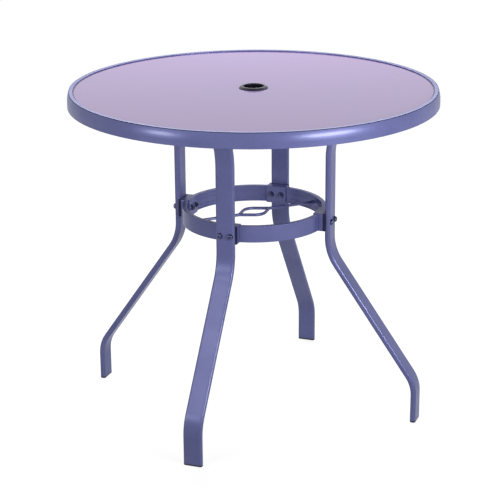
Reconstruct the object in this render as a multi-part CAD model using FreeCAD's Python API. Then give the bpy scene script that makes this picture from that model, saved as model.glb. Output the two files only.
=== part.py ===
# Round umbrella table with a drop-in panel, a rolled rim, four bent flat-tube legs,
# a grooved support ring bolted between the legs and a two-rod guide for the pole.
# Millimetres, +Z up. The origin is on the floor, on the axis of the umbrella hole.
# One leg lies along each of the directions +X, +Y, -X and -Y.
import FreeCAD, Part
import math
import os

Vector = FreeCAD.Vector
ORIGIN = Vector(0, 0, 0)
UP = Vector(0, 0, 1)
OUT = Vector(1, 0, 0)

# Driving dimensions: the whole table
table_diameter = 812.8
table_height = 736.0
seat_gap = 0.2
cut_margin = 1.0
match_tolerance = 1e-6

# Rim: one strip section rolled to a circle, with a rounded shoulder and a ledge
rim_height = 33.0
rim_wall = 2.0
rim_shoulder_width = 4.4
rim_shoulder_height = 20.0
rim_crest_width = 8.0
rim_ledge_width = 22.0
rim_return_width = 8.0
rim_edge_radius = 0.8

# Panel and the strip that it lies in
panel_thickness = 5.0
panel_recess = 2.5
panel_edge_bevel = 0.8
panel_hole_diameter = 50.8
gasket_wall = 1.4
gasket_floor = 1.0
gasket_rivet_gap = 1.0

# Umbrella ring: flange and collar from above, nut from below
pole_bore_diameter = 44.5
hub_flange_diameter = 63.5
hub_flange_thickness = 5.0
hub_slope_width = 5.2
hub_slope_drop = 4.0
hub_crest_radius = 3.5
hub_rim_radius = 0.8
hub_mouth_radius = 2.6
hub_collar_wall = 2.3
hub_collar_drop = 22.0
hub_nut_diameter = 62.0
hub_nut_thickness = 6.0
hub_nut_grip_count = 8
hub_nut_grip_radius = 5.0

# Leg: one flat tube with three bends
tube_width = 42.0
tube_depth = 12.7
tube_corner_radius = 5.0
tube_wall = 1.6
leg_run_radius = 178.0
foot_inset = 24.8
knee_height = 379.0
ankle_height = 89.0
arm_bend_radius = 122.0
knee_bend_radius = 108.0
ankle_bend_radius = 76.0
arm_end_gap = 2.5

# Foot cap: a plug with a sole
cap_sole_thickness = 4.0
cap_plug_length = 16.0
cap_plug_wall = 2.0
cap_edge_radius = 1.0

# Support ring: rolled rectangular tube with shallow grooves on its inside
ring_depth = 10.0
ring_height = 37.0
ring_above_knee = 69.6
ring_wall = 2.0
ring_edge_radius = 0.8
ring_groove_heights = (-13.6, -6.8, 6.8, 13.6)
ring_groove_width = 2.4
ring_groove_depth = 0.8

# Saddle round the ring at each leg, and the soft cradle between it and the leg
saddle_wall = 1.2
saddle_inner_wall = 2.7
saddle_outer_wall = 6.95
saddle_edge_radius = 1.2
cradle_floor_thickness = 3.5
cradle_lip_depth = 2.4
cradle_lip_wall = 2.6
cradle_edge_radius = 1.2

# Leg bolts, two through each leg
bolt_diameter = 6.0
bolt_hole_clearance = 0.3
bolt_spacing = 24.0
bolt_head_diameter = 12.4
bolt_head_height = 4.2
bolt_crown_radius = 3.0
bolt_socket_across = 4.0
bolt_socket_depth = 2.4
bolt_tail = 3.0
washer_diameter = 14.0
washer_thickness = 1.2
nut_across_flats = 10.0
nut_thickness = 5.6
nut_chamfer_radius = 5.0
nut_flange_diameter = 14.6
nut_flange_thickness = 1.4
nut_flange_slope = 0.8
nut_thread_gap = 0.1

# Pole guide: two rods that close round the pole
rod_diameter = 7.0
guide_angle = 45.0
guide_above_ring_centre = 2.0
guide_lead_offset = 8.0
guide_loop_reach = 41.0
guide_lead_bend_radius = 18.0

# Straps and rivets that hold the arms under the rim's ledge
strap_thickness = 2.0
strap_length = 15.0
strap_flange_width = 14.0
strap_edge_gap = 1.0
rivet_diameter = 4.8
rivet_head_diameter = 9.5
rivet_head_height = 2.2
rivet_crown_radius = 1.8
rivet_hole_clearance = 0.15
rivet_tail_diameter = 7.6
rivet_tail_height = 0.7

# Pads between the arms and the panel
pad_diameter = 18.0
pad_radius_from_axis = 285.0

# Values that follow from the sizes above
rim_radius = table_diameter / 2
foot_radius = rim_radius - foot_inset
ring_centre_height = knee_height + ring_above_knee
rim_bottom = table_height - rim_height
lip_radius = rim_radius - rim_shoulder_width - rim_crest_width
panel_top = table_height - panel_recess
panel_bottom = panel_top - panel_thickness
ledge_top = panel_bottom - gasket_floor
ledge_bottom = ledge_top - rim_wall
ledge_inner_radius = lip_radius - rim_ledge_width
panel_radius = lip_radius - gasket_wall
arm_height = ledge_bottom - tube_depth / 2
arm_end_radius = rim_radius - rim_wall - arm_end_gap
leg_inner_face = leg_run_radius - tube_depth / 2
leg_outer_face = leg_run_radius + tube_depth / 2
saddle_outer_face = leg_inner_face - cradle_floor_thickness
ring_radius = saddle_outer_face - saddle_outer_wall - seat_gap
ring_inner_radius = ring_radius - ring_depth
saddle_half_width = tube_width / 2 + seat_gap + cradle_lip_wall
saddle_half_height = ring_height / 2 + seat_gap + saddle_wall
guide_loop_radius = pole_bore_diameter / 2 + rod_diameter / 2
strap_start = ledge_inner_radius + strap_edge_gap
strap_middle = strap_start + strap_length / 2
rivet_offset = tube_width / 2 + seat_gap + strap_thickness + strap_flange_width / 2
gasket_inner_radius = math.hypot(strap_middle, rivet_offset) + rivet_tail_diameter / 2 + gasket_rivet_gap
bolt_hole_radius = bolt_diameter / 2 + bolt_hole_clearance
rivet_hole_radius = rivet_diameter / 2 + rivet_hole_clearance

LEGS = (("right", 0), ("back", 90), ("left", 180), ("front", 270))


def turned(shape, degrees):
    """A copy of the shape, turned about the table's axis."""
    copy = shape.copy()
    copy.rotate(ORIGIN, UP, degrees)
    return copy


def revolved(face):
    """A full turn of a section that is drawn in the XZ plane."""
    return face.revolve(ORIGIN, UP, 360)


def section_face(points):
    """A straight-edged section in the XZ plane, from (radius, height) pairs."""
    corners = [Vector(radius, 0, height) for radius, height in points]
    return Part.Face(Part.makePolygon(corners + corners[:1]))


def annulus(inner_radius, outer_radius, bottom, top):
    """A plain ring about the table's axis."""
    return revolved(section_face([
        (inner_radius, bottom),
        (outer_radius, bottom),
        (outer_radius, top),
        (inner_radius, top),
    ]))


def disc(radius, bottom, top, centre=ORIGIN):
    """An upright cylinder over a place on the floor."""
    return Part.makeCylinder(radius, top - bottom, Vector(centre.x, centre.y, bottom), UP)


def block(x_range, y_range, z_range):
    """A box between two limits along each axis."""
    low = Vector(x_range[0], y_range[0], z_range[0])
    return Part.makeBox(
        x_range[1] - x_range[0],
        y_range[1] - y_range[0],
        z_range[1] - z_range[0],
        low,
    )


def rounded_outline(width, depth, radius):
    """A rounded rectangle in the YZ plane: width along Y and depth along Z."""
    y = width / 2 - radius
    z = depth / 2 - radius
    slope = radius * math.sqrt(0.5)
    edges = []
    for side_y, side_z in ((1, 1), (-1, 1), (-1, -1), (1, -1)):
        beside = Vector(0, side_y * (y + radius), side_z * z)
        middle = Vector(0, side_y * (y + slope), side_z * (z + slope))
        over = Vector(0, side_y * y, side_z * (z + radius))
        start, end = (beside, over) if side_y == side_z else (over, beside)
        edges.append(Part.Arc(start, middle, end).toShape())
    joined = []
    for index, arc in enumerate(edges):
        following = edges[(index + 1) % len(edges)]
        start = arc.lastVertex(True).Point
        end = following.firstVertex(True).Point
        joined.append(arc)
        joined.append(Part.makeLine(start, end))
    return Part.Wire(joined)


def bent_path(corners, radii):
    """Straight runs through the corners, joined by tangent arcs of the given radii."""
    edges = []
    run_start = corners[0]
    for before, corner, after, radius in zip(corners, corners[1:], corners[2:], radii):
        towards_before = (before - corner).normalize()
        towards_after = (after - corner).normalize()
        half_angle = towards_before.getAngle(towards_after) / 2
        setback = radius / math.tan(half_angle)
        arc_start = corner + towards_before * setback
        arc_end = corner + towards_after * setback
        bisector = (towards_before + towards_after).normalize()
        to_middle = radius / math.sin(half_angle) - radius
        edges.append(Part.makeLine(run_start, arc_start))
        edges.append(Part.Arc(arc_start, corner + bisector * to_middle, arc_end).toShape())
        run_start = arc_end
    edges.append(Part.makeLine(run_start, corners[-1]))
    return Part.Wire(edges)


def make_rim_frame():
    """The rim: bottom return, outer wall, shoulder, crest, lip wall and ledge."""
    outer = rim_radius
    crest = table_height
    crest_end = outer - rim_shoulder_width
    face_top = crest - rim_shoulder_height
    curve = (rim_shoulder_height ** 2 + rim_shoulder_width ** 2) / (2 * rim_shoulder_width)
    centre = Vector(outer - curve, 0, face_top)
    inner_curve = curve - rim_wall
    outer_swing = math.asin(rim_shoulder_height / curve)
    inner_swing = math.asin((rim_shoulder_height - rim_wall) / inner_curve)
    crest_inside = centre.x + inner_curve * math.cos(inner_swing)

    def on_curve(radius, swing):
        return centre + Vector(radius * math.cos(swing), 0, radius * math.sin(swing))

    outline = [
        Part.makeLine(Vector(outer - rim_return_width, 0, rim_bottom), Vector(outer, 0, rim_bottom)),
        Part.makeLine(Vector(outer, 0, rim_bottom), Vector(outer, 0, face_top)),
        Part.Arc(
            Vector(outer, 0, face_top),
            on_curve(curve, outer_swing / 2),
            Vector(crest_end, 0, crest),
        ).toShape(),
        Part.makeLine(Vector(crest_end, 0, crest), Vector(lip_radius, 0, crest)),
        Part.makeLine(Vector(lip_radius, 0, crest), Vector(lip_radius, 0, ledge_top)),
        Part.makeLine(Vector(lip_radius, 0, ledge_top), Vector(ledge_inner_radius, 0, ledge_top)),
        Part.makeLine(
            Vector(ledge_inner_radius, 0, ledge_top),
            Vector(ledge_inner_radius, 0, ledge_bottom),
        ),
        Part.makeLine(
            Vector(ledge_inner_radius, 0, ledge_bottom),
            Vector(lip_radius + rim_wall, 0, ledge_bottom),
        ),
        Part.makeLine(
            Vector(lip_radius + rim_wall, 0, ledge_bottom),
            Vector(lip_radius + rim_wall, 0, crest - rim_wall),
        ),
        Part.makeLine(
            Vector(lip_radius + rim_wall, 0, crest - rim_wall),
            Vector(crest_inside, 0, crest - rim_wall),
        ),
        Part.Arc(
            Vector(crest_inside, 0, crest - rim_wall),
            on_curve(inner_curve, inner_swing / 2),
            Vector(outer - rim_wall, 0, face_top),
        ).toShape(),
        Part.makeLine(
            Vector(outer - rim_wall, 0, face_top),
            Vector(outer - rim_wall, 0, rim_bottom + rim_wall),
        ),
        Part.makeLine(
            Vector(outer - rim_wall, 0, rim_bottom + rim_wall),
            Vector(outer - rim_return_width, 0, rim_bottom + rim_wall),
        ),
        Part.makeLine(
            Vector(outer - rim_return_width, 0, rim_bottom + rim_wall),
            Vector(outer - rim_return_width, 0, rim_bottom),
        ),
    ]
    rim = revolved(Part.Face(Part.Wire(outline)))
    sharp = [
        edge for edge in rim.Edges
        if is_level_circle(edge, lip_radius, crest)
        or is_level_circle(edge, crest_end, crest)
        or is_level_circle(edge, outer, rim_bottom)
    ]
    rim = rim.makeFillet(rim_edge_radius, sharp)
    holes = [
        disc(rivet_hole_radius, ledge_bottom - cut_margin, ledge_top + cut_margin, place)
        for place in rivet_places()
    ]
    return rim.cut(holes)


def is_level_circle(edge, radius, height):
    """Whether the edge is the circle of that radius and height about the table's axis."""
    curve = edge.Curve
    if not isinstance(curve, Part.Circle):
        return False
    same_radius = abs(curve.Radius - radius) < match_tolerance
    same_height = abs(curve.Center.z - height) < match_tolerance
    on_axis = math.hypot(curve.Center.x, curve.Center.y) < match_tolerance
    return same_radius and same_height and on_axis


def make_table_panel():
    """The disc that drops into the rim, with bevelled edges and the umbrella hole."""
    bevel = panel_edge_bevel
    hole_radius = panel_hole_diameter / 2
    edge_radius = panel_radius - seat_gap
    return revolved(section_face([
        (hole_radius, panel_bottom),
        (edge_radius - bevel, panel_bottom),
        (edge_radius, panel_bottom + bevel),
        (edge_radius, panel_top - bevel),
        (edge_radius - bevel, panel_top),
        (hole_radius + bevel, panel_top),
        (hole_radius, panel_top - bevel),
    ]))


def make_panel_gasket():
    """The angle strip between the panel's edge and the rim."""
    return revolved(section_face([
        (gasket_inner_radius, ledge_top),
        (lip_radius, ledge_top),
        (lip_radius, panel_top),
        (panel_radius, panel_top),
        (panel_radius, panel_bottom),
        (gasket_inner_radius, panel_bottom),
    ]))


def make_umbrella_ring():
    """Sloped flange over the panel and collar through its hole, with a rounded mouth."""
    bore_radius = pole_bore_diameter / 2
    collar_radius = bore_radius + hub_collar_wall
    flange_radius = hub_flange_diameter / 2
    crest_radius = flange_radius - hub_slope_width
    crest = panel_top + hub_flange_thickness
    ring = revolved(section_face([
        (bore_radius, panel_top - hub_collar_drop),
        (collar_radius, panel_top - hub_collar_drop),
        (collar_radius, panel_top),
        (flange_radius, panel_top),
        (flange_radius, crest - hub_slope_drop),
        (crest_radius, crest),
        (bore_radius, crest),
    ]))
    rounded_edges = (
        (crest_radius, crest, hub_crest_radius),
        (flange_radius, crest - hub_slope_drop, hub_rim_radius),
        (bore_radius, crest, hub_mouth_radius),
    )
    for edge_radius, height, rounding in rounded_edges:
        circle = [edge for edge in ring.Edges if is_level_circle(edge, edge_radius, height)]
        ring = ring.makeFillet(rounding, circle)
    return ring


def make_umbrella_ring_nut():
    """The ring nut under the panel, with finger grips round its edge."""
    collar_radius = pole_bore_diameter / 2 + hub_collar_wall
    nut_radius = hub_nut_diameter / 2
    nut = annulus(collar_radius + seat_gap, nut_radius, panel_bottom - hub_nut_thickness, panel_bottom)
    grips = []
    for index in range(hub_nut_grip_count):
        angle = 2 * math.pi * (index + 0.5) / hub_nut_grip_count
        reach = nut_radius + hub_nut_grip_radius / 2
        centre = Vector(reach * math.cos(angle), reach * math.sin(angle), 0)
        grips.append(disc(
            hub_nut_grip_radius,
            panel_bottom - hub_nut_thickness - cut_margin,
            panel_bottom + cut_margin,
            centre,
        ))
    return nut.cut(grips)


def leg_path():
    """The middle line of a leg along +X, from the arm's end down to the foot."""
    corners = [
        Vector(arm_end_radius, 0, arm_height),
        Vector(leg_run_radius, 0, arm_height),
        Vector(leg_run_radius, 0, knee_height),
        Vector(foot_radius, 0, ankle_height),
        Vector(foot_radius, 0, cap_sole_thickness),
    ]
    return bent_path(corners, [arm_bend_radius, knee_bend_radius, ankle_bend_radius])


def swept_along_leg(outline):
    """The outline, drawn in the YZ plane, carried along the leg's middle line."""
    section = outline.copy()
    section.translate(Vector(arm_end_radius, 0, arm_height))
    return leg_path().makePipeShell([section], True, False)


def bolt_places():
    """Where the two bolts of a leg along +X cross it, as (y, z) pairs."""
    return [(side * bolt_spacing / 2, ring_centre_height) for side in (-1, 1)]


def bolt_bores(x_from, x_to):
    """Clearance holes for the two bolts of a leg along +X."""
    bores = []
    for y, z in bolt_places():
        start = Vector(x_from, y, z)
        bores.append(Part.makeCylinder(bolt_hole_radius, x_to - x_from, start, OUT))
    return bores


def make_leg():
    """The leg along +X: a hollow flat tube with three bends and two bolt holes."""
    outside = swept_along_leg(rounded_outline(tube_width, tube_depth, tube_corner_radius))
    inside = swept_along_leg(rounded_outline(
        tube_width - 2 * tube_wall,
        tube_depth - 2 * tube_wall,
        tube_corner_radius - tube_wall,
    ))
    tube = outside.cut(inside)
    return tube.cut(bolt_bores(leg_inner_face - cut_margin, leg_outer_face + cut_margin))


def make_foot_cap():
    """The cap of the leg along +X: a sole under the tube and a hollow plug in it."""
    sole_outline = rounded_outline(tube_width, tube_depth, tube_corner_radius)
    plug_outline = rounded_outline(
        tube_width - 2 * tube_wall - 2 * seat_gap,
        tube_depth - 2 * tube_wall - 2 * seat_gap,
        tube_corner_radius - tube_wall - seat_gap,
    )
    hollow_outline = rounded_outline(
        tube_width - 2 * tube_wall - 2 * seat_gap - 2 * cap_plug_wall,
        tube_depth - 2 * tube_wall - 2 * seat_gap - 2 * cap_plug_wall,
        (tube_corner_radius - tube_wall - seat_gap) / 2,
    )
    sole = upright_prism(sole_outline, 0, cap_sole_thickness)
    lower_edges = [edge for edge in sole.Edges if edge.BoundBox.ZMax < match_tolerance]
    sole = sole.makeFillet(cap_edge_radius, lower_edges)
    plug = upright_prism(plug_outline, cap_sole_thickness, cap_plug_length)
    hollow = upright_prism(hollow_outline, cap_sole_thickness, cap_plug_length)
    return sole.fuse(plug).cut(hollow).removeSplitter()


def upright_prism(outline, bottom, height):
    """A prism on the foot's axis from an outline that is drawn in the YZ plane."""
    section = outline.copy()
    section.rotate(ORIGIN, Vector(0, 1, 0), 90)
    section.translate(Vector(foot_radius, 0, bottom))
    return Part.Face(section).extrude(UP * height)


def make_support_ring():
    """The rolled tube: smooth outside, grooved inside, with the bores of the leg bolts."""
    half = ring_height / 2
    inner_side = [(ring_inner_radius, -half)]
    for height in ring_groove_heights:
        low = height - ring_groove_width / 2
        high = height + ring_groove_width / 2
        inner_side += [
            (ring_inner_radius, low),
            (ring_inner_radius + ring_groove_depth, low),
            (ring_inner_radius + ring_groove_depth, high),
            (ring_inner_radius, high),
        ]
    inner_side.append((ring_inner_radius, half))
    outside = revolved(section_face(inner_side + [(ring_radius, half), (ring_radius, -half)]))
    sharp = [
        edge for edge in outside.Edges
        for radius in (ring_inner_radius, ring_radius)
        for height in (-half, half)
        if is_level_circle(edge, radius, height)
    ]
    outside = outside.makeFillet(ring_edge_radius, sharp)
    inside = annulus(
        ring_inner_radius + ring_wall,
        ring_radius - ring_wall,
        -half + ring_wall,
        half - ring_wall,
    )
    ring = outside.cut(inside)
    ring.translate(Vector(0, 0, ring_centre_height))
    bores = [
        turned(bore, angle)
        for name, angle in LEGS
        for bore in bolt_bores(ring_inner_radius - ring_depth, ring_radius + cut_margin)
    ]
    return ring.cut(bores)


def saddle_inner_face():
    """The flat face on which the nuts seat: outside the ring's inner wall by one wall."""
    reach = saddle_half_width
    return math.sqrt((ring_inner_radius - seat_gap) ** 2 - reach ** 2) - saddle_inner_wall


def make_saddle():
    """The saddle of the leg along +X: a sleeve round the ring."""
    inner_face = saddle_inner_face()
    body = block(
        (inner_face, saddle_outer_face),
        (-saddle_half_width, saddle_half_width),
        (-saddle_half_height, saddle_half_height),
    )
    body = body.makeFillet(saddle_edge_radius, body.Edges)
    ring_space = annulus(
        ring_inner_radius - seat_gap,
        ring_radius + seat_gap,
        -ring_height / 2 - seat_gap,
        ring_height / 2 + seat_gap,
    )
    saddle = body.cut(ring_space)
    saddle.translate(Vector(0, 0, ring_centre_height))
    return saddle.cut(bolt_bores(inner_face - cut_margin, leg_inner_face))


def make_leg_cradle():
    """The cradle of the leg along +X: a block with two lips that hold the leg's sides."""
    body = block(
        (saddle_outer_face, leg_inner_face + cradle_lip_depth),
        (-saddle_half_width, saddle_half_width),
        (-saddle_half_height, saddle_half_height),
    )
    body = body.makeFillet(cradle_edge_radius, body.Edges)
    leg_space = rounded_outline(
        tube_width + 2 * seat_gap,
        tube_depth,
        tube_corner_radius,
    )
    leg_space.rotate(ORIGIN, Vector(0, 1, 0), 90)
    leg_space.translate(Vector(leg_run_radius, 0, -saddle_half_height - cut_margin))
    leg_space = Part.Face(leg_space).extrude(UP * 2 * (saddle_half_height + cut_margin))
    cradle = body.cut(leg_space)
    cradle.translate(Vector(0, 0, ring_centre_height))
    return cradle.cut(bolt_bores(saddle_outer_face - cut_margin, leg_outer_face))


def make_leg_bolt(y, z):
    """A domed bolt with a hexagon socket, pointing from the leg to the ring."""
    under_head = leg_outer_face + washer_thickness
    end = saddle_inner_face() - nut_thickness - bolt_tail
    shank = Part.makeCylinder(bolt_diameter / 2, under_head - end, Vector(end, y, z), OUT)
    head = Part.makeCylinder(bolt_head_diameter / 2, bolt_head_height, Vector(under_head, y, z), OUT)
    middle_of_head = under_head + bolt_head_height / 2
    crown = [
        edge for edge in head.Edges
        if isinstance(edge.Curve, Part.Circle) and edge.Curve.Center.x > middle_of_head
    ]
    head = head.makeFillet(bolt_crown_radius, crown)
    socket_floor = under_head + bolt_head_height - bolt_socket_depth
    socket = hexagon(bolt_socket_across, socket_floor, bolt_head_height, y, z)
    return shank.fuse(head).cut(socket).removeSplitter()


def hexagon(across_flats, x_from, length, y, z):
    """A hexagonal prism along +X."""
    radius = across_flats / math.sqrt(3)
    corners = []
    for index in range(6):
        angle = math.pi * index / 3
        corners.append(Vector(x_from, y + radius * math.cos(angle), z + radius * math.sin(angle)))
    face = Part.Face(Part.makePolygon(corners + corners[:1]))
    return face.extrude(OUT * length)


def make_leg_washer(y, z):
    """A flat washer between the leg and the bolt's head."""
    seat = Vector(leg_outer_face, y, z)
    outside = Part.makeCylinder(washer_diameter / 2, washer_thickness, seat, OUT)
    hole = Part.makeCylinder(bolt_hole_radius, washer_thickness, seat, OUT)
    return outside.cut(hole)


def make_leg_nut(y, z):
    """A flange nut on the saddle's inner face, with its corners turned off."""
    seat = saddle_inner_face()
    start = seat - nut_thickness
    nut = hexagon(nut_across_flats, start, nut_thickness, y, z)
    cone = Part.makeCone(
        nut_chamfer_radius,
        nut_chamfer_radius + nut_thickness,
        nut_thickness,
        Vector(start, y, z),
        OUT,
    )
    flange = Part.makeCone(
        nut_flange_diameter / 2 - nut_flange_slope,
        nut_flange_diameter / 2,
        nut_flange_thickness,
        Vector(seat - nut_flange_thickness, y, z),
        OUT,
    )
    hole_radius = bolt_diameter / 2 + nut_thread_gap
    hole = Part.makeCylinder(hole_radius, nut_thickness, Vector(start, y, z), OUT)
    return nut.common(cone).fuse(flange).cut(hole).removeSplitter()


def group_at_bolts(maker):
    """One copy of a fastener for each bolt place of each leg."""
    return Part.makeCompound([
        turned(maker(y, z), angle)
        for name, angle in LEGS
        for y, z in bolt_places()
    ])


def guide_rod_path():
    """The first rod's middle line, drawn with its lead along +X at the origin's height."""
    reach = guide_loop_reach
    offset = guide_lead_offset
    entry = Vector(-reach, -offset, 0)
    exit_corner = Vector(reach, offset, 0)
    distance = entry.Length
    half_span = math.acos(guide_loop_radius / distance)
    entry_angle = math.atan2(entry.y, entry.x) + half_span
    exit_angle = math.atan2(exit_corner.y, exit_corner.x) - half_span
    middle_angle = (entry_angle + exit_angle) / 2
    if middle_angle > 0:
        middle_angle -= math.pi
    on_loop = [
        Vector(guide_loop_radius * math.cos(angle), guide_loop_radius * math.sin(angle), 0)
        for angle in (entry_angle, middle_angle, exit_angle)
    ]
    end_radius = ring_inner_radius - seat_gap
    lead_start = Vector(-math.sqrt(end_radius ** 2 - (offset + rod_diameter / 2) ** 2), -offset, 0)
    lead = bent_path([lead_start, entry, on_loop[0]], [guide_lead_bend_radius])
    loop = Part.Arc(*on_loop).toShape()
    closing = Part.makeLine(on_loop[2], exit_corner)
    return Part.Wire(list(lead.Edges) + [loop, closing])


def swept_rod(radius):
    """The first rod as a solid of the given radius."""
    path = guide_rod_path()
    start = path.OrderedVertexes[0].Point
    section = Part.Wire(Part.makeCircle(radius, start, OUT))
    return path.makePipeShell([section], True, False)


def make_guide_rods():
    """The two rods, each cut to fit the other where its loop closes on it."""
    rod = swept_rod(rod_diameter / 2)
    other = turned(swept_rod(rod_diameter / 2 + seat_gap), 180)
    pieces = rod.cut(other).Solids
    first = max(pieces, key=lambda piece: piece.Volume)
    first.rotate(ORIGIN, UP, guide_angle)
    first.translate(Vector(0, 0, ring_centre_height + guide_above_ring_centre))
    return first, turned(first, 180)


def make_rim_strap():
    """The strap of the arm along +X: a hat section under the arm, up to the ledge."""
    shift = Vector(strap_start, 0, arm_height)
    inner_outline = rounded_outline(
        tube_width + 2 * seat_gap,
        tube_depth + 2 * seat_gap,
        tube_corner_radius + seat_gap,
    )
    outer_outline = rounded_outline(
        tube_width + 2 * seat_gap + 2 * strap_thickness,
        tube_depth + 2 * seat_gap + 2 * strap_thickness,
        tube_corner_radius + seat_gap + strap_thickness,
    )
    for outline in (inner_outline, outer_outline):
        outline.translate(shift)
    half_inside = tube_width / 2 + seat_gap
    half_outside = half_inside + strap_thickness + strap_flange_width
    x_range = (strap_start, strap_start + strap_length)
    flange = block(x_range, (-half_outside, half_outside), (ledge_bottom - strap_thickness, ledge_bottom))
    hat = Part.Face(outer_outline).extrude(OUT * strap_length).fuse(flange)
    hollow = Part.Face(inner_outline).extrude(OUT * strap_length)
    hat_top = arm_height + tube_depth / 2 + seat_gap + strap_thickness
    above_tube = block(x_range, (-half_inside, half_inside), (arm_height, hat_top))
    above_ledge = block(x_range, (-half_outside, half_outside), (ledge_bottom, hat_top))
    strap = hat.cut([hollow, above_tube, above_ledge])
    flange_bottom = ledge_bottom - strap_thickness
    holes = [
        disc(rivet_hole_radius, flange_bottom - cut_margin, ledge_bottom + cut_margin, place)
        for place in strap_rivet_places()
    ]
    return strap.cut(holes).removeSplitter()


def strap_rivet_places():
    """The two rivets of the strap along +X."""
    return [Vector(strap_middle, side * rivet_offset, 0) for side in (-1, 1)]


def rivet_places():
    """The rivets of all four straps."""
    places = []
    for name, angle in LEGS:
        turn = FreeCAD.Rotation(UP, angle)
        places.extend(turn.multVec(place) for place in strap_rivet_places())
    return places


def make_rim_rivet(place):
    """A domed rivet through a strap's flange and the ledge."""
    flange_bottom = ledge_bottom - strap_thickness
    head = disc(rivet_head_diameter / 2, flange_bottom - rivet_head_height, flange_bottom, place)
    crown = [edge for edge in head.Edges if edge.BoundBox.ZMax < flange_bottom - rivet_head_height / 2]
    head = head.makeFillet(rivet_crown_radius, crown)
    shank = disc(rivet_diameter / 2, flange_bottom, ledge_top, place)
    tail = disc(rivet_tail_diameter / 2, ledge_top, ledge_top + rivet_tail_height, place)
    return head.fuse([shank, tail]).removeSplitter()


def make_panel_pads():
    """Soft discs on the arms that keep the panel from rattling on them."""
    pad = disc(pad_diameter / 2, ledge_bottom, panel_bottom, OUT * pad_radius_from_axis)
    return Part.makeCompound([turned(pad, angle) for name, angle in LEGS])


def build_nodes():
    """Every node of the table, by name."""
    nodes = {
        "rim_frame": make_rim_frame(),
        "panel_gasket": make_panel_gasket(),
        "table_panel": make_table_panel(),
        "umbrella_ring": make_umbrella_ring(),
        "umbrella_ring_nut": make_umbrella_ring_nut(),
        "panel_pads": make_panel_pads(),
        "support_ring": make_support_ring(),
    }
    leg = make_leg()
    cap = make_foot_cap()
    saddle = make_saddle()
    cradle = make_leg_cradle()
    strap = make_rim_strap()
    for name, angle in LEGS:
        nodes["leg_" + name] = turned(leg, angle)
        nodes["foot_cap_" + name] = turned(cap, angle)
        nodes["ring_saddle_" + name] = turned(saddle, angle)
        nodes["leg_cradle_" + name] = turned(cradle, angle)
        nodes["rim_strap_" + name] = turned(strap, angle)
    nodes["rim_rivets"] = Part.makeCompound([make_rim_rivet(place) for place in rivet_places()])
    nodes["leg_bolts"] = group_at_bolts(make_leg_bolt)
    nodes["leg_washers"] = group_at_bolts(make_leg_washer)
    nodes["leg_nuts"] = group_at_bolts(make_leg_nut)
    nodes["guide_rod_left"], nodes["guide_rod_right"] = make_guide_rods()
    return nodes


os.makedirs("parts", exist_ok=True)
for node_name, shape in build_nodes().items():
    solids = len(shape.Solids)
    print(node_name, "solids", solids, "valid", shape.isValid(), "volume", round(shape.Volume))
    shape.exportStep("parts/" + node_name + ".step")
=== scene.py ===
import math

import bmesh
import bpy
from mathutils import Euler, Matrix, Vector


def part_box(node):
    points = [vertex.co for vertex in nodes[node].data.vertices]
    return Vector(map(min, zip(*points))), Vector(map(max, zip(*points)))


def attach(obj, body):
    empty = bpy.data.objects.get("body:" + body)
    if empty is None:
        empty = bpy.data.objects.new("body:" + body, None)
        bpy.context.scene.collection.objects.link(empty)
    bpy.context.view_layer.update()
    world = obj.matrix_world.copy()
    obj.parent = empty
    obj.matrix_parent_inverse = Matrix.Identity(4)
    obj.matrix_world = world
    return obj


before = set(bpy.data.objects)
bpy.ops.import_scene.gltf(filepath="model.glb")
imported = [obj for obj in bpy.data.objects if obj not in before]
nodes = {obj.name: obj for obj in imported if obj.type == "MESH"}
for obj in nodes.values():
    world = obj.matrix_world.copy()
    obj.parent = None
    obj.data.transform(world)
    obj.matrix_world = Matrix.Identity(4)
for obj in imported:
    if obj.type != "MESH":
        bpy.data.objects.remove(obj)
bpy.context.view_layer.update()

UP = Vector((0, 0, 1))
WHITE = (1, 1, 1, 1)

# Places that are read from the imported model
panel_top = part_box("table_panel")[1].z
rim_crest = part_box("rim_frame")[1].z
ring_low, ring_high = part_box("support_ring")
ring_radius = ring_high.x
ring_middle = (ring_low.z + ring_high.z) / 2

# Sizes of the metal work that the small pieces follow
MM = 0.001
rod_radius = 3.5 * MM
bolt_radius = 3.0 * MM
bolt_spacing = 24.0 * MM
ring_depth = 10.0 * MM
guide_lead_offset = 8.0 * MM
guide_loop_reach = 41.0 * MM
guide_angle = math.radians(45)
guide_above_ring_middle = 2.0 * MM

# Welds of the guide rods: a collar round each rod at the ring, and runs where the rods meet.
# A ripple is the share by which a bead's thickness swells and shrinks.
weld_bead = 1.3 * MM
steps_per_ripple = 4
collar_gap = 0.4 * MM
collar_inset = 1.2 * MM
collar_ripple = 0.14
collar_ripples = 7
run_half_length = 5.0 * MM
run_lift = 0.55 * rod_radius
run_end_share = 0.15
run_ripple = 0.12
run_ripples = 5

# Threads on the tails of the bolts
thread_pitch = 1.0 * MM
thread_crest = 0.28 * MM
thread_sink = 0.05 * MM
thread_margin = 0.3 * MM
thread_end_share = 0.2
thread_growth_per_turn = 2
steps_per_turn = 20

# Dark bead between the rim's crest and its face, laid where the crease's shade line falls: painted
# shade
crease_shade_radius = 402.1 * MM
crease_shade_depth = 0.6 * MM
crease_shade_thickness = 0.8 * MM

# Floor, a little below the soles of the feet
floor_radius = 9.0
floor_drop = 0.5 * MM

# Camera, fitted to the photograph
camera_place = Vector((1.1821, -3.2184, 1.5143))
camera_heading = math.radians(20.409)
camera_dip = math.radians(18.541)
camera_roll = math.radians(-0.388)
camera_lens = 116.236


def new_material(name):
    """A node material with its tree and its main shader."""
    made = bpy.data.materials.new(name)
    made.use_nodes = True
    tree = made.node_tree
    return made, tree, tree.nodes["Principled BSDF"]


def add_node(tree, kind, **settings):
    """A node with some of its settings filled in."""
    node = tree.nodes.new(kind)
    for key, value in settings.items():
        setattr(node, key, value)
    return node


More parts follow.
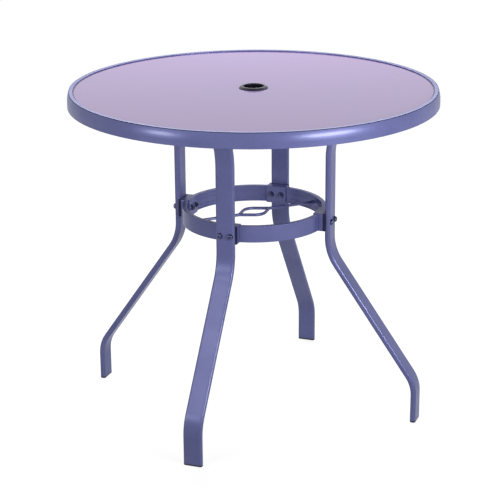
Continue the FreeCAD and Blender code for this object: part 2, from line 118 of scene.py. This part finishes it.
def object_place(tree, stretch=(1, 1, 1)):
    """The place on the object, stretched along its axes."""
    coordinates = add_node(tree, "ShaderNodeTexCoord")
    mapping = add_node(tree, "ShaderNodeMapping")
    mapping.inputs["Scale"].default_value = stretch
    tree.links.new(coordinates.outputs["Object"], mapping.inputs["Vector"])
    return mapping.outputs["Vector"]


def add_noise(tree, scale, detail=3, stretch=(1, 1, 1)):
    """A noise between 0 and 1, with features of about 1 / scale metres."""
    noise = add_node(tree, "ShaderNodeTexNoise")
    noise.inputs["Scale"].default_value = scale
    noise.inputs["Detail"].default_value = detail
    tree.links.new(object_place(tree, stretch), noise.inputs["Vector"])
    return noise.outputs["Fac"]


def add_cells(tree, scale):
    """A random value for each small cell, as metal flakes have."""
    cells = add_node(tree, "ShaderNodeTexVoronoi", feature="F1")
    cells.inputs["Scale"].default_value = scale
    tree.links.new(object_place(tree), cells.inputs["Vector"])
    separate = add_node(tree, "ShaderNodeSeparateColor")
    tree.links.new(cells.outputs["Color"], separate.inputs["Color"])
    return separate.outputs["Red"]


def add_range(tree, value, low=0.0, high=1.0, start=0.0, end=1.0):
    """The value between start and end, mapped to low and high."""
    node = add_node(tree, "ShaderNodeMapRange")
    node.inputs["From Min"].default_value = start
    node.inputs["From Max"].default_value = end
    node.inputs["To Min"].default_value = low
    node.inputs["To Max"].default_value = high
    tree.links.new(value, node.inputs["Value"])
    return node.outputs["Result"]


def add_blend(tree, factor, first, second):
    """A colour between two colours; each is a socket or a colour value."""
    node = add_node(tree, "ShaderNodeMix", data_type="RGBA")
    tree.links.new(factor, node.inputs["Factor"])
    for name, colour in (("A", first), ("B", second)):
        socket = [item for item in node.inputs if item.name == name and item.type == "RGBA"][0]
        if isinstance(colour, tuple):
            socket.default_value = (*colour, 1)
        else:
            tree.links.new(colour, socket)
    return [item for item in node.outputs if item.type == "RGBA"][0]


def add_bump(tree, shader, layers):
    """Bumps from (height value, strength, depth) layers, one after the other."""
    normal = None
    for height, strength, depth in layers:
        bump = add_node(tree, "ShaderNodeBump")
        bump.inputs["Strength"].default_value = strength
        bump.inputs["Distance"].default_value = depth
        tree.links.new(height, bump.inputs["Height"])
        if normal:
            tree.links.new(normal, bump.inputs["Normal"])
        normal = bump.outputs["Normal"]
    tree.links.new(normal, shader.inputs["Normal"])


def frame_paint():
    """Blue violet satin paint with fine metal flakes and a slight orange peel."""
    made, tree, shader = new_material("frame_paint")
    clouds = add_range(tree, add_noise(tree, 14, detail=4), start=0.3, end=0.7)
    flakes = add_cells(tree, 2600)
    body = add_blend(tree, clouds, (0.110, 0.122, 0.320), (0.140, 0.152, 0.370))
    bright_flakes = add_range(tree, flakes, high=0.30, start=0.6)
    flecked = add_blend(tree, bright_flakes, body, (0.28, 0.30, 0.58))
    tree.links.new(flecked, shader.inputs["Base Color"])
    shader.inputs["Metallic"].default_value = 0.2
    rough = add_range(tree, add_noise(tree, 60), low=0.32, high=0.40)
    tree.links.new(rough, shader.inputs["Roughness"])
    shader.inputs["Specular IOR Level"].default_value = 0.05
    shader.inputs["Coat Weight"].default_value = 0.16
    shader.inputs["Coat Roughness"].default_value = 0.24
    shader.inputs["Coat IOR"].default_value = 2.2
    peel = add_noise(tree, 900, detail=2)
    add_bump(tree, shader, [(peel, 0.15, 0.2 * MM), (flakes, 0.05, 0.05 * MM)])
    return made


def panel_glass():
    """Lavender glass, painted on its back: a soft sheen over a slightly cloudy colour."""
    made, tree, shader = new_material("panel_glass")
    clouds = add_range(tree, add_noise(tree, 3.2), start=0.35, end=0.65)
    body = add_blend(tree, clouds, (0.292, 0.172, 0.430), (0.272, 0.182, 0.445))
    fine = add_range(tree, add_noise(tree, 700, detail=2), high=0.25, start=0.4, end=0.7)
    speckled = add_blend(tree, fine, body, (0.34, 0.23, 0.51))
    tree.links.new(speckled, shader.inputs["Base Color"])
    rough = add_range(tree, add_noise(tree, 40), low=0.07, high=0.11)
    tree.links.new(rough, shader.inputs["Roughness"])
    shader.inputs["Specular IOR Level"].default_value = 0.5
    add_bump(tree, shader, [(add_noise(tree, 500, detail=2), 0.06, 0.2 * MM)])
    return made


def moulded_plastic(name, dark, light):
    """Moulded plastic with a fine grain."""
    made, tree, shader = new_material(name)
    body = add_blend(tree, add_noise(tree, 60), dark, light)
    tree.links.new(body, shader.inputs["Base Color"])
    rough = add_range(tree, add_noise(tree, 300), low=0.32, high=0.42)
    tree.links.new(rough, shader.inputs["Roughness"])
    shader.inputs["Specular IOR Level"].default_value = 0.15
    add_bump(tree, shader, [(add_noise(tree, 2200, detail=2), 0.12, 0.1 * MM)])
    return made


def foot_plastic():
    """Black plastic of the foot caps, duller than the rest and scuffed."""
    made, tree, shader = new_material("foot_plastic")
    marks = add_noise(tree, 250, detail=5, stretch=(1, 1, 3))
    scuffs = add_range(tree, marks, start=0.5, end=0.75)
    body = add_blend(tree, scuffs, (0.010, 0.009, 0.018), (0.035, 0.032, 0.045))
    tree.links.new(body, shader.inputs["Base Color"])
    rough = add_range(tree, scuffs, low=0.42, high=0.62)
    tree.links.new(rough, shader.inputs["Roughness"])
    add_bump(tree, shader, [(add_noise(tree, 1800, detail=2), 0.2, 0.1 * MM)])
    return made


def black_vinyl():
    """Soft vinyl of the strip between panel and rim."""
    made, tree, shader = new_material("black_vinyl")
    clouds = add_noise(tree, 120)
    body = add_blend(tree, clouds, (0.022, 0.018, 0.040), (0.040, 0.034, 0.062))
    tree.links.new(body, shader.inputs["Base Color"])
    rough = add_range(tree, clouds, low=0.5, high=0.65)
    tree.links.new(rough, shader.inputs["Roughness"])
    add_bump(tree, shader, [(add_noise(tree, 1500, detail=2), 0.2, 0.1 * MM)])
    return made


def crease_shade_paint():
    """Dark blue colour for the bead in the rim's crease, standing in for the shade that falls
    there: painted shade.
    """
    made, tree, shader = new_material("crease_shade_paint")
    body = add_blend(tree, add_noise(tree, 90), (0.014, 0.014, 0.045), (0.022, 0.022, 0.060))
    tree.links.new(body, shader.inputs["Base Color"])
    shader.inputs["Specular IOR Level"].default_value = 0.1
    rough = add_range(tree, add_noise(tree, 200, detail=2), low=0.45, high=0.60)
    tree.links.new(rough, shader.inputs["Roughness"])
    add_bump(tree, shader, [(add_noise(tree, 400, detail=2), 0.10, 0.2 * MM)])
    return made


def clear_rubber():
    """Milky soft rubber of the pads."""
    made, tree, shader = new_material("clear_rubber")
    clouds = add_noise(tree, 200)
    body = add_blend(tree, clouds, (0.55, 0.55, 0.58), (0.68, 0.68, 0.70))
    tree.links.new(body, shader.inputs["Base Color"])
    rough = add_range(tree, clouds, low=0.35, high=0.5)
    tree.links.new(rough, shader.inputs["Roughness"])
    shader.inputs["Subsurface Weight"].default_value = 0.3
    shader.inputs["Subsurface Scale"].default_value = 3.0 * MM
    return made


def steel(name, dark, light, rough_low, rough_high):
    """Metal with a mottled plating and a fine grain."""
    made, tree, shader = new_material(name)
    mottle = add_range(tree, add_noise(tree, 420, detail=4), start=0.35, end=0.65)
    body = add_blend(tree, mottle, dark, light)
    tree.links.new(body, shader.inputs["Base Color"])
    shader.inputs["Metallic"].default_value = 0.85
    rough = add_range(tree, mottle, rough_low, rough_high)
    tree.links.new(rough, shader.inputs["Roughness"])
    add_bump(tree, shader, [(add_noise(tree, 1600), 0.2, 0.1 * MM)])
    return made


def dress(names, made):
    """Gives the material to CAD nodes."""
    for name in names:
        slots = nodes[name].data.materials
        slots.clear()
        slots.append(made)


def mesh_piece(name, mesh, made):
    """A new piece from a bmesh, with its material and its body."""
    data = bpy.data.meshes.new(name)
    mesh.to_mesh(data)
    mesh.free()
    for polygon in data.polygons:
        polygon.use_smooth = True
    piece = bpy.data.objects.new(name, data)
    bpy.context.scene.collection.objects.link(piece)
    data.materials.append(made)
    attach(piece, "root")


def turned(point, angle):
    """The point, turned about the table's axis."""
    return Matrix.Rotation(angle, 3, "Z") @ point


def add_swept_tube(mesh, centres, normals, axes, radii, sides=10):
    """An open tube through the centres; each ring of points lies in its normal and axis."""
    rings = []
    for centre, normal, axis, radius in zip(centres, normals, axes, radii):
        ring = []
        for side in range(sides):
            angle = 2 * math.pi * side / sides
            ring.append(mesh.verts.new(
                centre + radius * (math.cos(angle) * normal + math.sin(angle) * axis)
            ))
        rings.append(ring)
    for first, second in zip(rings, rings[1:]):
        join_rings(mesh, first, second)
    return rings


def join_rings(mesh, first, second):
    """The faces between two rings of points."""
    for index in range(len(first)):
        following = (index + 1) % len(first)
        mesh.faces.new((first[index], first[following], second[following], second[index]))


def close_ends(mesh, rings):
    """Caps on both ends of an open tube."""
    mesh.faces.new(list(reversed(rings[0])))
    mesh.faces.new(rings[-1])


def add_weld_collar(mesh, centre, axis):
    """A weld bead round a rod: a ring with a rippled surface."""
    reach = rod_radius + collar_gap
    side = axis.orthogonal().normalized()
    other = axis.cross(side)
    steps = steps_per_ripple * collar_ripples
    centres, normals, axes, radii = [], [], [], []
    for step in range(steps):
        angle = 2 * math.pi * step / steps
        outward = math.cos(angle) * side + math.sin(angle) * other
        centres.append(centre + reach * outward)
        normals.append(outward)
        axes.append(axis)
        radii.append(weld_bead * (1 + collar_ripple * math.cos(collar_ripples * angle)))
    rings = add_swept_tube(mesh, centres, normals, axes, radii)
    join_rings(mesh, rings[-1], rings[0])


def add_weld_run(mesh, start, end):
    """A straight weld bead with ripples and tapered ends."""
    across = (end - start).normalized().cross(UP)
    steps = steps_per_ripple * run_ripples
    centres, radii = [], []
    for step in range(steps + 1):
        share = step / steps
        taper = math.sqrt(max(0.0, 1 - (2 * share - 1) ** 4))
        thickness = run_end_share + (1 - run_end_share) * taper
        swell = 1 + run_ripple * math.cos(2 * math.pi * run_ripples * share)
        centres.append(start.lerp(end, share))
        radii.append(weld_bead * thickness * swell)
    rings = add_swept_tube(mesh, centres, [UP] * len(centres), [across] * len(centres), radii)
    close_ends(mesh, rings)


def make_guide_welds(made):
    """Welds that fix the guide rods to the ring and to each other."""
    mesh = bmesh.new()
    ring_inside = ring_radius - ring_depth
    guide_height = ring_middle + guide_above_ring_middle
    end_reach = math.sqrt(ring_inside ** 2 - guide_lead_offset ** 2) - collar_inset
    for turn in (0, math.pi):
        angle = guide_angle + turn
        end = turned(Vector((-end_reach, -guide_lead_offset, guide_height)), angle)
        along = turned(Vector((1, 0, 0)), angle)
        add_weld_collar(mesh, end, along)
        meeting = turned(Vector((-guide_loop_reach, -guide_lead_offset, guide_height)), angle)
        half = along * run_half_length
        for side in (-1, 1):
            middle = meeting + UP * side * run_lift
            add_weld_run(mesh, middle - half, middle + half)
    mesh_piece("guide_welds", mesh, made)


def make_crease_shade_bead(made):
    """The thin dark bead in the crease between the rim's crest and its face, standing in for the
    crease's shade line: painted shade.
    """
    mesh = bmesh.new()
    steps = 192
    centres, normals = [], []
    for step in range(steps):
        angle = 2 * math.pi * step / steps
        outward = Vector((math.cos(angle), math.sin(angle), 0))
        centres.append(outward * crease_shade_radius + UP * (rim_crest - crease_shade_depth))
        normals.append(outward)
    radii = [crease_shade_thickness] * steps
    rings = add_swept_tube(mesh, centres, normals, [UP] * steps, radii, sides=8)
    join_rings(mesh, rings[-1], rings[0])
    mesh_piece("rim_crease_shade", mesh, made)


def make_bolt_threads(made):
    """The thread that shows on each bolt's tail, as one helix with tapered ends."""
    mesh = bmesh.new()
    helix_radius = bolt_radius - thread_sink
    tail_end = inner_end("leg_bolts")
    tail_length = inner_end("leg_nuts") - tail_end
    steps = int((tail_length - 2 * thread_margin) / thread_pitch * steps_per_turn)
    for quarter in range(4):
        turn = quarter * math.pi / 2
        for side in (-1, 1):
            middle = Vector((tail_end + thread_margin, side * bolt_spacing / 2, ring_middle))
            centres, normals, axes, radii = [], [], [], []
            for step in range(steps + 1):
                angle = 2 * math.pi * step / steps_per_turn
                outward = Vector((0, math.cos(angle), math.sin(angle)))
                advance = Vector((thread_pitch * step / steps_per_turn, 0, 0))
                turns_to_end = min(step, steps - step) / steps_per_turn
                centres.append(turned(middle + advance + outward * helix_radius, turn))
                normals.append(turned(outward, turn))
                axes.append(turned(Vector((1, 0, 0)), turn))
                share = thread_end_share + thread_growth_per_turn * turns_to_end
                radii.append(thread_crest * min(1, share))
            close_ends(mesh, add_swept_tube(mesh, centres, normals, axes, radii, sides=6))
    mesh_piece("bolt_threads", mesh, made)


def inner_end(name):
    """How near to the table's axis the node's pieces along +X come."""
    points = [vertex.co for vertex in nodes[name].data.vertices]
    return min(point.x for point in points if point.x > abs(point.y))


def make_studio():
    """A pale floor, white surroundings, three soft boxes in front and a broad one high behind."""
    world = bpy.data.worlds.new("studio")
    bpy.context.scene.world = world
    world.use_nodes = True
    tree = world.node_tree
    background = tree.nodes["Background"]
    background.inputs["Color"].default_value = WHITE
    strength = seen_directly(tree, direct=1.0, otherwise=0.03)
    tree.links.new(strength, background.inputs["Strength"])
    make_floor()
    area_light("left_box", turn=-49, rise=4, distance=1.6, width=0.4, height=0.3, power=4.8)
    area_light("right_box", turn=40, rise=5, distance=1.6, width=0.8, height=0.3, power=16)
    area_light("front_box", turn=-36, rise=32, distance=2.0, width=0.5, height=0.5, power=5)
    area_light("top_box", turn=180, rise=45, distance=1.65, width=1.6, height=1.2, power=42)


def seen_directly(tree, direct, otherwise):
    """One value for camera, glossy and transmission rays and another for all others."""
    path = add_node(tree, "ShaderNodeLightPath")
    glossy = add_node(tree, "ShaderNodeMath", operation="MAXIMUM")
    tree.links.new(path.outputs["Is Camera Ray"], glossy.inputs[0])
    tree.links.new(path.outputs["Is Glossy Ray"], glossy.inputs[1])
    through = add_node(tree, "ShaderNodeMath", operation="MAXIMUM")
    tree.links.new(glossy.outputs[0], through.inputs[0])
    tree.links.new(path.outputs["Is Transmission Ray"], through.inputs[1])
    return add_range(tree, through.outputs[0], otherwise, direct)


def make_floor():
    """A wide floor that is white far off and pale under the table, where it keeps a shadow."""
    mesh = bmesh.new()
    bmesh.ops.create_circle(mesh, cap_ends=True, radius=floor_radius, segments=96)
    data = bpy.data.meshes.new("floor")
    mesh.to_mesh(data)
    mesh.free()
    floor = bpy.data.objects.new("floor", data)
    bpy.context.scene.collection.objects.link(floor)
    floor.location.z = -floor_drop
    made, tree, shader = new_material("pale_floor")
    tone = add_range(tree, add_noise(tree, 2), low=0.20, high=0.22)
    combined = add_node(tree, "ShaderNodeCombineColor")
    for channel in ("Red", "Green", "Blue"):
        tree.links.new(tone, combined.inputs[channel])
    tree.links.new(combined.outputs["Color"], shader.inputs["Base Color"])
    shader.inputs["Roughness"].default_value = 0.9
    shader.inputs["Specular IOR Level"].default_value = 0.0
    shader.inputs["Emission Color"].default_value = WHITE
    distance = add_node(tree, "ShaderNodeVectorMath", operation="LENGTH")
    tree.links.new(object_place(tree), distance.inputs[0])
    glow = add_range(tree, distance.outputs["Value"], low=0.89, start=0.8, end=2.6)
    shown = add_node(tree, "ShaderNodeMath", operation="MULTIPLY")
    tree.links.new(glow, shown.inputs[0])
    tree.links.new(seen_directly(tree, direct=1.0, otherwise=0.0), shown.inputs[1])
    tree.links.new(shown.outputs[0], shader.inputs["Emission Strength"])
    data.materials.append(made)


def area_light(name, turn, rise, distance, width, height, power):
    """A soft box aimed at the table top: turn and rise in degrees, turn from the camera's side."""
    data = bpy.data.lights.new(name, "AREA")
    data.shape = "RECTANGLE"
    data.size = width
    data.size_y = height
    data.energy = power
    light = bpy.data.objects.new(name, data)
    azimuth = math.atan2(camera_place.y, camera_place.x) + math.radians(turn)
    elevation = math.radians(rise)
    out = Vector((
        math.cos(elevation) * math.cos(azimuth),
        math.cos(elevation) * math.sin(azimuth),
        math.sin(elevation),
    ))
    aim = Vector((0, 0, panel_top))
    light.location = aim + out * distance
    light.rotation_euler = (-out).to_track_quat("-Z", "Y").to_euler()
    bpy.context.scene.collection.objects.link(light)


def make_camera():
    """The camera at the photograph's place, angle and lens."""
    data = bpy.data.cameras.new("camera")
    data.lens = camera_lens
    data.clip_end = 100
    camera = bpy.data.objects.new("camera", data)
    level = Euler((math.radians(90) - camera_dip, 0, camera_heading)).to_matrix()
    camera.rotation_euler = (level @ Matrix.Rotation(camera_roll, 3, "Z")).to_euler()
    camera.location = camera_place
    bpy.context.scene.collection.objects.link(camera)
    bpy.context.scene.camera = camera


def dress_table():
    """Materials for the CAD nodes, and the small pieces that go on them."""
    paint = frame_paint()
    bolts = steel("dark_steel", (0.045, 0.048, 0.105), (0.100, 0.108, 0.215), 0.25, 0.38)
    rivets = steel("rivet_metal", (0.42, 0.42, 0.45), (0.56, 0.56, 0.60), 0.30, 0.45)
    sides = ("right", "back", "left", "front")
    painted = ["rim_frame", "support_ring", "guide_rod_left", "guide_rod_right"]
    for side in sides:
        painted += ["leg_" + side, "ring_saddle_" + side, "rim_strap_" + side]
    dress(painted, paint)
    dress(["table_panel"], panel_glass())
    dress(["panel_gasket"], black_vinyl())
    nearly_black = moulded_plastic("black_plastic", (0.008, 0.007, 0.020), (0.016, 0.014, 0.032))
    dress(["umbrella_ring", "umbrella_ring_nut"], nearly_black)
    dark_blue = moulded_plastic("cradle_plastic", (0.018, 0.018, 0.054), (0.030, 0.030, 0.078))
    dress(["leg_cradle_" + side for side in sides], dark_blue)
    dress(["foot_cap_" + side for side in sides], foot_plastic())
    dress(["panel_pads"], clear_rubber())
    dress(["leg_bolts", "leg_washers", "leg_nuts"], bolts)
    dress(["rim_rivets"], rivets)
    # The dark bead in the rim's crease is painted shade.
    make_crease_shade_bead(crease_shade_paint())
    make_guide_welds(paint)
    make_bolt_threads(bolts)


make_camera()
make_studio()
dress_table()

bpy.context.scene.view_settings.view_transform = "Standard"
